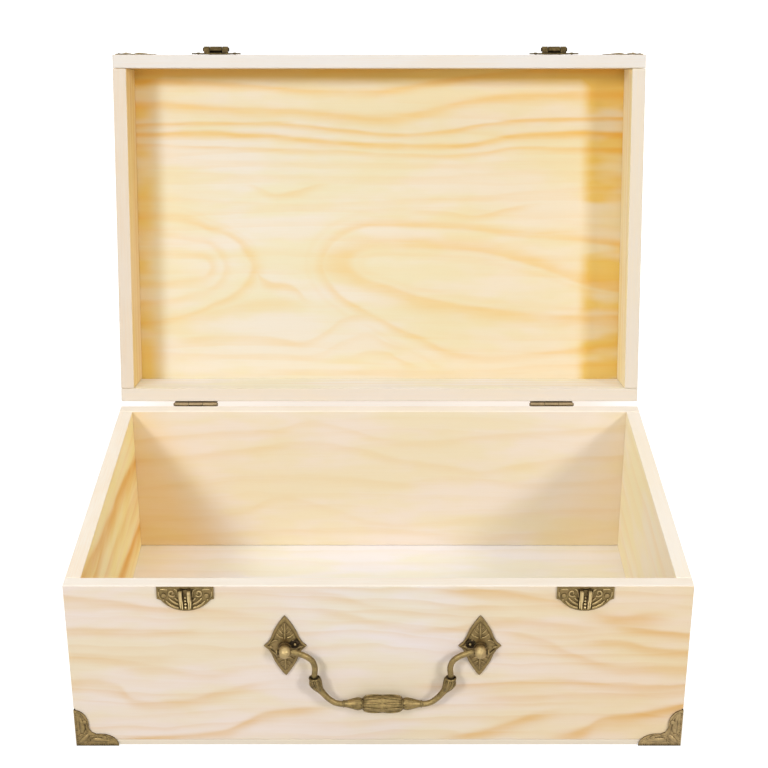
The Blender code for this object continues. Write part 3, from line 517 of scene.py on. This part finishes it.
def lid_lines(x, y, bend, swell):
    """Long lines near the top, and under them two ridges whose ends face each other as loops."""
    up = panel_up(y) + bend * 0.8
    x = x + bend * 0.6
    wide = swell * 1.05
    outer, outer_half = loop(
        x, up, ((-150, 93), (-20, 93), (10, 93), (55, 90), (77, 86.5), (115, 84), (150, 80)),
        ((-150, 42), (-20, 42), (-8, 39), (8, 31), (25, 23), (40, 16), (58, 13), (90, 14), (118, 17),
         (150, 22)), -2.0, 32.0,
    )
    inner, inner_half = loop(
        x, up, ((-150, 81), (0, 81), (23, 80.5), (55, 77.5), (77, 73.5), (94, 68.5), (115, 60), (150, 52)),
        ((-150, 57), (-2, 56), (23, 48), (55, 41.5), (77, 38.5), (98, 37), (150, 36)), 4.0, 25.0,
    )
    left, left_half = loop(
        x, up, ((-150, 95), (-126, 96), (-108, 93), (-98, 89), (150, 87)),
        ((-150, 33), (-124, 36), (-106, 41), (-96, 46), (150, 48)), -97.0, 22.5, -1,
    )
    within, within_half = loop(
        x, up, ((-150, 86), (-126, 86.5), (-108, 83), (150, 80)),
        ((-150, 46), (-126, 47), (-106, 52), (150, 56)), -106.0, 15.0, -1,
    )
    dull = -((-x).between(10.0, 60.0) * 0.3) + 1.0
    return most(
        grown((-outer + 1.0) * outer_half, wide * 1.5, 1.8) * 0.5 * dull,
        grown((-inner + 1.0) * inner_half, wide * 1.9, 2.6) * 0.62 * dull,
        grown((-inner + 0.62) * inner_half, wide * 1.6, 1.6) * 0.16,
        grown((outer - 1.28) * outer_half, wide * 1.2, 1.6) * 0.12,
        grown((-left + 1.0) * left_half, wide * 1.5, 1.8) * 0.5,
        grown((-within + 1.0) * within_half, wide * 1.5, 1.6) * 0.3,
        grown((-within + 0.45) * within_half, wide * 1.6, 1.6) * 0.34,
        grown((left - 1.22) * left_half, wide * 1.3, 1.6) * 0.14,
        *year_lines(x, up, wide, LID_LINES),
    ) * (x.between(100.0, 132.0) * 0.35 + 0.8)


def lid_amber_and_painted_shade(x, y, z):
    """Deeper amber inside. A ragged strip at the right end and narrow ones at the left end and along the
    top are painted shade, amber as if from light bounced off the wood, where the lid's boards shade its
    panel; there is also a trace of deeper amber to the right and at the foot.
    """
    up = panel_up(y)
    knots = noise(x.tree, x * 0.02, up * 0.055, 3.7, 2.0).between(0.36, 0.62)
    # Painted shade along the side boards, amber and ragged
    ends = x.between(116.0, 126.0) * (knots * 0.7 + 0.2) + (-x).between(124.0, 141.0) * (knots * 0.5 + 0.5)
    # A trace of deeper amber to the right and at the foot, and painted shade under the top board
    faint = x.between(-80.0, 90.0) * 0.2 + (-up).between(-40.0, 0.0) * 0.1 + up.between(172.0, 180.0) * 0.95
    return ((ends + faint) * (-z).between(-36.6, -34.5)).clamped()


def lid_painted_foot_shade(y):
    """Painted shade: a little greyer towards the hinges."""
    up = panel_up(y)
    return (-up).between(-180.0, -110.0) * 0.12 + (-up).between(-90.0, 0.0) * 0.2


def front_lines(x, z, bend, swell):
    """Broad tan bands, faint on the left and in the middle, and deeper on the right."""
    return most(*year_lines(x + bend, z + bend * 0.9, swell * 1.3, FRONT_LINES))


def front_amber_and_highlight(x, z, y):
    """A little deeper towards the right end, and none in the middle near the top, where that paler patch is
    a painted highlight.
    """
    # Painted highlight: no deeper amber in the middle near the top
    middle = (-x.step("ABSOLUTE")).between(-60.0, -15.0) * z.between(38.0, 68.0)
    return x.between(20.0, 140.0) * 0.22 + 0.16 - middle * 0.16


def back_lines(x, z, bend, swell):
    """Faint waves."""
    return most(*year_lines(x, z + bend * 0.7, swell * 1.3, BACK_LINES))


def back_painted_shade(x, z, y):
    """Painted amber shade at the foot of both ends, most at the left, where the side boards' shadows fall.
    """
    # The painted shade's edge slopes like the side boards' shadows
    slope = z * 0.5
    return ((-x - slope).between(72.0, 112.0) * 0.6 + (x - slope).between(76.0, 116.0) * 0.25).clamped()


def floor_amber_ends(x, y, z):
    """Deeper amber towards the ends, most at the left."""
    return ((-x).between(60.0, 135.0) * 0.3 + x.between(70.0, 135.0) * 0.14).clamped()


def left_lines(y, z, bend, swell):
    """Strong streaks that rise towards the front."""
    return most(*year_lines(y, z + bend, swell * 2.2, LEFT_LINES))


def bare_rim(z):
    """The sanded rim of the body."""
    return z.between(91.6, 91.8)


def bare_foot(y):
    """The bottom panel's edge on the body's front."""
    return (-y).between(98.2, 98.8)


def bare_lid_edge(z):
    """The sanded rim of the lid."""
    return (-z).between(-0.5, -0.3)


RIM = (244, 235, 222)
LID_RIM = (218, 206, 191)
boards = {
    "front_board": pine(
        "pine_front", "case", (X, Z, Y), 1.3, rings=7.0, amber=0.2, wander=26.0, drawn=front_lines,
        pale=bare_rim, rim=RIM, cream=(230, 221, 212), gold=(218, 178, 116), amber_and_shade=front_amber_and_highlight),
    "back_board": pine(
        "pine_back", "case", (X, Z, Y), 4.1, amber=0.08, wander=26.0, drawn=back_lines,
        pale=bare_rim, rim=RIM, cream=(231, 221, 203), gold=(222, 190, 122), amber_and_shade=back_painted_shade),
    "left_board": pine(
        "pine_left", "case", (Y, Z, X), 7.7, rings=14.0, amber=0.2, wander=16.0, drawn=left_lines,
        pale=bare_rim, rim=RIM, cream=(255, 240, 186), gold=(234, 170, 64)),
    "right_board": pine(
        "pine_right", "case", (Y, Z, X), 2.9, rings=14.0, amber=0.2, wander=14.0,
        pale=bare_rim, rim=RIM, cream=(255, 248, 222), gold=(246, 216, 160)),
    "bottom_panel": pine(
        "pine_bottom", "case", (X, Y, Z), 5.6, rings=12.0, amber=0.2, wander=20.0, amber_and_shade=floor_amber_ends,
        pale=bare_foot, rim=(223, 210, 190), cream=(238, 236, 232), gold=(228, 212, 180)),
    "lid_top_panel": pine(
        "pine_lid_panel", "lid", (X, Y, Z), 6.2, amber=0.12, wander=16.0, drawn=lid_lines,
        cream=(230, 222, 200), gold=(230, 189, 104), amber_and_shade=lid_amber_and_painted_shade, dim=lid_painted_foot_shade),
    "lid_front_board": pine(
        "pine_lid_front", "lid", (X, Z, Y), 8.4, amber=0.4, wander=12.0,
        pale=bare_lid_edge, rim=(219, 214, 208), cream=(242, 228, 204), gold=(226, 188, 126)),
    "lid_back_board": pine(
        "pine_lid_back", "lid", (X, Z, Y), 9.1, amber=0.25, wander=12.0,
        pale=bare_lid_edge, rim=LID_RIM, cream=(238, 236, 228), gold=(232, 206, 160)),
    "lid_left_board": pine(
        "pine_lid_left", "lid", (Y, Z, X), 3.3, amber=0.5, wander=10.0,
        pale=bare_lid_edge, rim=LID_RIM, cream=(240, 214, 160), gold=(222, 174, 96)),
    "lid_right_board": pine(
        "pine_lid_right", "lid", (Y, Z, X), 7.0, amber=0.4, wander=10.0,
        pale=bare_lid_edge, rim=LID_RIM, cream=(252, 242, 208), gold=(238, 206, 140)),
}
for node_name, material in boards.items():
    dress(node_name, material)

metal = bronze("antique_bronze", light=(152, 129, 84), dark=(50, 36, 18))
# A lighter copy of the bronze, as painted light on the right foot corner
metal_painted_light = bronze("antique_bronze_painted_light", light=(172, 148, 104), dark=(62, 46, 26))
metal_catch = bronze("antique_bronze_catch", light=(136, 115, 72), dark=(56, 42, 20), proud=(100.6, 102.4))
metal_plate = bronze("antique_bronze_plate", light=(136, 115, 73), dark=(80, 63, 36))
metal_relief = bronze("antique_bronze_relief", light=(170, 147, 100), dark=(88, 70, 40), rub=0.15)
metal_leaf = bronze("antique_bronze_leaf", light=(150, 128, 83), dark=(84, 66, 38), rub=0.05)
metal_worn = bronze("antique_bronze_worn", light=(220, 196, 142), dark=(128, 104, 62), rub=0.35)
metal_post = bronze("antique_bronze_post", light=(168, 146, 101), dark=(104, 84, 52), rub=0.12)
metal_bail = bronze("antique_bronze_bail", light=(142, 121, 76), dark=(50, 37, 18))
metal_dark = bronze("antique_bronze_dark", light=(82, 67, 35), dark=(32, 23, 10))
metal_hinge = bronze("antique_bronze_hinge", light=(150, 130, 98), dark=(102, 86, 62))
# Near-black bronze: painted shadow in the eyes of the handle plates
metal_painted_shadow = bronze("antique_bronze_painted_shadow", light=(52, 40, 22), dark=(24, 16, 8))


def finish_of(node_name):
    """The bronze that a metal node has."""
    if "hasp" in node_name or "latch" in node_name:
        return metal_dark
    if "hinge" in node_name:
        return metal_hinge
    if "catch_plate" in node_name:
        return metal_catch
    if "handle_plate" in node_name:
        return metal_plate
    # The right foot corner takes the lighter bronze, painted light
    if node_name.startswith("right_foot_corner"):
        return metal_painted_light
    if "handle_post" in node_name:
        return metal_post
    return metal_bail if node_name == "handle_bail" else metal


smooth = round_off()
for node_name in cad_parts:
    if node_name not in boards:
        piece = dress(node_name, finish_of(node_name))
        piece.modifiers.new("round_off", "NODES").node_group = smooth

# Cast relief on the plates: each stroke is a tapered half-sunk rod, and each bead a low dome


def round_turn(count):
    """Evenly spaced angles once round, in radians."""
    return [2 * math.pi * k / count for k in range(count)]


def join(bm, rings):
    """Faces between each ring of vertices and the next."""
    for near, far in zip(rings, rings[1:]):
        for i in range(len(near)):
            j = (i + 1) % len(near)
            bm.faces.new((near[i], near[j], far[j], far[i]))


def sweep(bm, points, radii, sides, closed=False):
    """A round rod of changing size along points in space, or a hoop of it."""
    last = len(points) - 1
    rings = []
    for i, (point, radius) in enumerate(zip(points, radii)):
        before = points[i - 1] if i or closed else points[0]
        after = points[(i + 1) % len(points)] if i < last or closed else points[last]
        along = (after - before).normalized()
        side = along.cross(Vector((0.0, 1.0, 0.0)))
        side = side.normalized() if side.length > 0.001 else Vector((1.0, 0.0, 0.0))
        out = side.cross(along)
        ways = [side * math.cos(a) + out * math.sin(a) for a in round_turn(sides)]
        rings.append([bm.verts.new(point + radius * way) for way in ways])
    join(bm, rings + rings[:1] if closed else rings)
    if not closed:
        bm.faces.new(rings[0])
        bm.faces.new(reversed(rings[-1]))


def smooth_line(points, steps):
    """A smooth curve through flat points, both ends included."""
    padded = [points[0]] + list(points) + [points[-1]]
    made = []
    for a, b, c, d in zip(padded, padded[1:], padded[2:], padded[3:]):
        for i in range(steps):
            t = i / steps
            made.append(tuple(
                0.5 * (2 * q + (r - p) * t + (2 * p - 5 * q + 4 * r - s) * t * t
                       + (3 * q - p - 3 * r + s) * t ** 3)
                for p, q, r, s in zip(a, b, c, d)
            ))
    return made + [tuple(points[-1])]


def stroke(bm, put, points, thick, thin, steps=5, lead=0.15):
    """A stroke of relief through flat points. Put maps a flat point to the plate's face.

    It is thin at its ends, the first of them less so by the lead.
    """
    line = smooth_line(points, steps)
    last = len(line) - 1
    radii = []
    for i in range(last + 1):
        swell = math.sin(math.pi * min(1.0, lead + (1 - lead) * i / last)) ** 0.7
        radii.append(thick * (thin + (1 - thin) * swell) * MM)
    sweep(bm, [put(u, v) for u, v in line], radii, 7)


def bead(bm, put, u, v, radius):
    """A round bead sunk in the plate's face."""
    bmesh.ops.create_icosphere(bm, subdivisions=2, radius=radius * MM, matrix=Matrix.Translation(put(u, v)))


def cast(name, body, material, draw, *places):
    """Puts relief or another small casting in the scene, drawn at its places and riding on a body."""
    bm = bmesh.new()
    for place in places:
        draw(bm, place)
    bmesh.ops.recalc_face_normals(bm, faces=bm.faces)
    mesh = bpy.data.meshes.new(name)
    bm.to_mesh(mesh)
    bm.free()
    mesh.shade_smooth()
    mesh.materials.append(material)
    piece = bpy.data.objects.new(name, mesh)
    bpy.context.scene.collection.objects.link(piece)
    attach(piece, body)


def on_front(centre_x, centre_z, out, side=1):
    """Maps a plate's flat point, in mm from its middle, to the front of the body."""
    return lambda u, v: Vector((centre_x + side * u, FRONT - out, centre_z + v)) * MM


def spiral(u, v, radius, start, turns):
    """Flat points of a scroll that winds in to its eye."""
    made = []
    for i in range(15):
        share = i / 14
        angle = start + turns * 2 * math.pi * share
        reach = radius * (1 - 0.82 * share)
        made.append((u + reach * math.cos(angle), v + reach * math.sin(angle)))
    return made


PLATE_HALF_WIDE, PLATE_HALF_TALL = 10.3, 16.9
# A handle plate's face, as (share of the way out to its edge, height off the body)
PLATE_STEPS = ((0.0, 2.4), (0.42, 2.4), (0.56, 2.3), (0.70, 1.99), (0.82, 1.42), (0.94, 1.61), (1.0, 1.2))


def diamond_face(u, v):
    """How far the face of a handle plate stands off the body at a flat point."""
    share = abs(u) / PLATE_HALF_WIDE + abs(v) / PLATE_HALF_TALL
    for (near, high), (far, low) in zip(PLATE_STEPS, PLATE_STEPS[1:]):
        if share <= far:
            return high + (low - high) * (share - near) / (far - near)
    return PLATE_STEPS[-1][1]


def on_plate(side):
    """Maps a flat point to the face of the handle plate on a side."""
    return lambda u, v: on_front(HANDLE_X + side * HANDLE_HALF, HANDLE_Z, diamond_face(u, v))(u, v)


def latch_relief(bm, put):
    """Half of a latch plate's ornament: a scroll, with leaves under it that spring from the ribs."""
    stroke(bm, put, [(3.3, -11.3), (5.2, -10.9), (7.6, -9.4), (9.4, -7.4)], 0.72, 0.35)
    stroke(bm, put, [(3.3, -9.4), (4.9, -8.7), (6.7, -7.3), (7.9, -5.9)], 0.66, 0.35)
    stroke(bm, put, [(3.3, -7.4), (4.2, -6.7), (5.2, -5.6)], 0.56, 0.35)
    stroke(bm, put, spiral(6.3, -3.3, 2.0, -2.4, 1.1), 0.56, 0.4, 2)
    stroke(bm, put, [(3.2, -5.6), (3.3, -3.6), (3.9, -1.9), (5.2, -1.1)], 0.5, 0.35)
    stroke(bm, put, [(8.2, -1.4), (10.0, -1.2), (12.0, -1.3)], 0.5, 0.35)
    stroke(bm, put, [(12.5, -2.4), (12.5, -4.2), (12.1, -6.0)], 0.44, 0.35)
    bead(bm, put, 10.6, -6.9, 0.5)


def rib_relief(bm, put):
    """Rods down the two ribs of a latch plate."""
    for side in (1, -1):
        stroke(bm, put, [(side * 2.5, -4.6), (side * 2.5, -8.0), (side * 2.35, -11.4)], 0.42, 0.6)
        stroke(bm, put, [(side * 1.6, -4.6), (side * 1.6, -8.0), (side * 1.55, -12.0)], 0.42, 0.6)
    for v in (-5.4, -7.2, -9.0, -10.8):
        bead(bm, put, 0.0, v, 0.62)


def diamond_relief(bm, put):
    """Leaves in the lobes of a handle plate."""
    for way in (1, -1):
        stroke(bm, put, [(0.0, way * 4.6), (0.0, way * 8.6), (0.0, way * 13.4)], 0.7, 0.3)
        for side in (1, -1):
            for thick, points in (
                (0.6, ((0.7, 5.4), (2.6, 6.0), (4.3, 7.4))),
                (0.52, ((0.6, 7.6), (1.9, 8.4), (3.1, 9.8))),
                (0.4, ((0.5, 9.8), (1.2, 10.5), (1.8, 11.6))),
            ):
                stroke(bm, put, [(side * u, way * v) for u, v in points], thick, 0.3)
    for side in (1, -1):
        stroke(bm, put, [(side * 6.0, 0.0), (side * 7.4, 0.0), (side * 8.8, 0.0)], 0.5, 0.3)
        for way in (1, -1):
            points = [(side * 3.4, way * 3.9), (side * 5.0, way * 3.7), (side * 6.9, way * 2.0)]
            stroke(bm, put, points, 0.5, 0.3)


EYE_U, EYE_V = 4.5, 1.8
# The eye's rings, as (radius, height off the plate)
EYE_STEPS = ((1.3, 0.22), (1.75, 0.4), (2.05, 0.5), (2.35, 0.3), (2.5, -0.1))


def eye_place(side):
    """Maps a flat point to the plane of the eye on a handle plate's inner side, above the bail's arm."""
    out = diamond_face(-side * EYE_U, EYE_V) + 0.05
    return on_front(HANDLE_X + side * HANDLE_HALF, HANDLE_Z, out)


def eye_relief(bm, side):
    """A sunken eye in a raised border; it is made near-black as painted shadow."""
    place = eye_place(side)
    rings = []
    for radius, rise in EYE_STEPS:
        rings.append([
            bm.verts.new(place(-side * EYE_U + radius * math.cos(a), EYE_V + radius * math.sin(a))
                         + Vector((0.0, -rise * MM, 0.0)))
            for a in round_turn(24)
        ])
    join(bm, rings)
    bm.faces.new(reversed(rings[0]))
    bm.faces.new(rings[-1])


def eye_bead(bm, side):
    """The bead in an eye."""
    bead(bm, eye_place(side), -side * EYE_U - side * 0.3, EYE_V, 0.75)


def corner_relief(bm, put):
    """A domed leaf down each arm of a corner, a small one in its angle, and a bead row along its edges.

    Put takes how far out a stroke's middle lies, and gives the map of the corner's flat points.
    """
    low, high = put(SHEET_OUT - 0.75), put(SHEET_OUT - 0.05)
    for i in range(17):
        at = 1.2 + 1.12 * i
        for u, v in ((at, 0.75), (0.75, at)):
            if i or u > v:
                bead(bm, high, u, v, 0.4)
    for swap in (False, True):
        def turned(points):
            return [(v, u) for u, v in points] if swap else points
        leaf = [(6.4, 3.0), (8.4, 3.5), (10.6, 3.8), (14.2, 3.5), (19.6, 1.9)]
        stroke(bm, low, turned(leaf), 1.7, 0.06, 6, 0.0)
        border = [(7.0, 5.5), (9.4, 6.0), (12.4, 5.8), (16.0, 4.7), (19.6, 2.6)]
        stroke(bm, high, turned(border), 0.4, 0.4)
        stroke(bm, high, turned([(8.6, 3.6), (12.0, 3.8), (16.4, 2.9)]), 0.3, 0.4)
        for at in (9.6, 11.8, 14.0):
            stroke(bm, high, turned([(at, 3.7), (at + 1.3, 4.5), (at + 2.4, 4.6)]), 0.26, 0.4)
            stroke(bm, high, turned([(at, 3.5), (at + 1.2, 2.7), (at + 2.3, 2.4)]), 0.26, 0.4)
        stroke(bm, high, turned([(5.4, 1.7), (6.6, 2.4), (6.9, 4.2)]), 0.42, 0.4)
    stroke(bm, low, [(1.4, 1.4), (4.2, 4.2), (7.2, 7.2)], 1.6, 0.06, 8, 0.0)
    stroke(bm, high, [(2.4, 2.4), (4.6, 4.6), (6.4, 6.4)], 0.34, 0.4)


def bail_point(x, z, along, reach, turn):
    """A point at a turn round the bail's line, in metres. X and z are from the handle's axis."""
    across = Vector((-along[1], 0.0, along[0])).normalized()
    line = Vector((HANDLE_X + x, PIVOT_Y, HANDLE_Z + z))
    return (line + reach * (across * math.cos(turn) + Vector((0.0, 1.0, 0.0)) * math.sin(turn))) * MM


def bail_hoop(bm, x, z, along, reach, thick):
    """A collar round the bail."""
    points = [bail_point(x, z, along, reach, a) for a in round_turn(20)]
    sweep(bm, points, [thick * MM] * 20, 8, closed=True)


def bail_petals(bm, stations, count, thick):
    """Petals with pointed ends laid along the bail, through stations of (x, z, radius)."""
    first, last = stations[0], stations[-1]
    along = (last[0] - first[0], last[1] - first[1])
    shares = [i / (len(stations) - 1) for i in range(len(stations))]
    radii = [thick * (0.12 + 0.88 * math.sin(math.pi * (0.08 + 0.9 * share))) * MM for share in shares]
    for k in range(count):
        turn = 2 * math.pi * (k + 0.5) / count
        sweep(bm, [bail_point(x, z, along, radius, turn) for x, z, radius in stations], radii, 6)


# Where petals lie along the bail: on the cups as (x, z, radius), on the grip as (x, radius)
CUP = ((32.9, -15.0, 2.35), (32.75, -16.0, 2.6), (32.5, -17.2, 2.6), (32.0, -18.6, 2.4),
       (31.3, -20.2, 2.1), (30.2, -22.0, 1.7))
GRIP = ((9.4, 2.9), (9.0, 3.35), (8.2, 3.65), (7.0, 3.9), (5.4, 4.15), (3.8, 4.3), (2.2, 4.4), (0.6, 4.4))
GRIP_BEAD = ((9.9, 2.4), (10.8, 2.65), (12.0, 2.7), (13.4, 2.5), (15.0, 2.2), (17.0, 1.75))


def bail_relief(bm, side):
    """Half of the bail's ornament: a calyx on the cup, and petals and collars on the grip and its bead."""
    bail_petals(bm, [(side * x, z, radius) for x, z, radius in CUP], 8, 0.72)
    bail_hoop(bm, side * 32.9, -14.9, (0.0, -1.0), 2.3, 0.55)
    bail_petals(bm, [(side * x, GRIP_Z, radius) for x, radius in GRIP], 10, 0.62)
    bail_petals(bm, [(side * x, GRIP_Z, radius) for x, radius in GRIP_BEAD], 8, 0.55)
    bail_hoop(bm, side * 9.6, GRIP_Z, (1.0, 0.0), 2.5, 0.45)
    bail_hoop(bm, side * 18.9, GRIP_Z, (1.0, 0.0), 1.5, 0.4)


def on_foot(side):
    """For a distance out, maps a flat point of a foot corner, in from its tip, to the body's front."""
    return lambda out: on_front(side * HALF_WIDTH, 0.0, out, -side)


def on_lid(side):
    """For a distance out, maps a flat point of a lid corner, in from its tip, to the lid's front."""
    return lambda out: lambda u, v: LID @ (
        Vector((side * (HALF_WIDTH - u), LID_FRONT - out, LID_TOP - v)) * MM
    )


for word, side in (("left", -1), ("right", 1)):
    catch_halves = [on_front(CATCH_X[word], CATCH_TOP, SHEET_OUT - 0.22, mirror) for mirror in (-1, 1)]
    cast(f"{word}_catch_relief", "case", metal_relief, latch_relief, *catch_halves)
    ribs = on_front(CATCH_X[word], CATCH_TOP, SHEET_OUT + 0.4)
    cast(f"{word}_catch_rib_relief", "case", metal_worn, rib_relief, ribs)
    cast(f"{word}_handle_plate_relief", "case", metal_leaf, diamond_relief, on_plate(side))
    # The eye is near-black bronze, a painted shadow
    cast(f"{word}_handle_plate_eye", "case", metal_painted_shadow, eye_relief, side)
    cast(f"{word}_handle_plate_eye_bead", "case", metal_relief, eye_bead, side)
    # The right foot's relief takes the lighter bronze too, painted light
    foot_metal = metal if side < 0 else metal_painted_light
    cast(f"{word}_foot_corner_relief", "case", foot_metal, corner_relief, on_foot(side))
    cast(f"{word}_lid_corner_relief", "lid", metal, corner_relief, on_lid(side))
    cast(f"{word}_bail_relief", "bail", metal_bail, bail_relief, side)
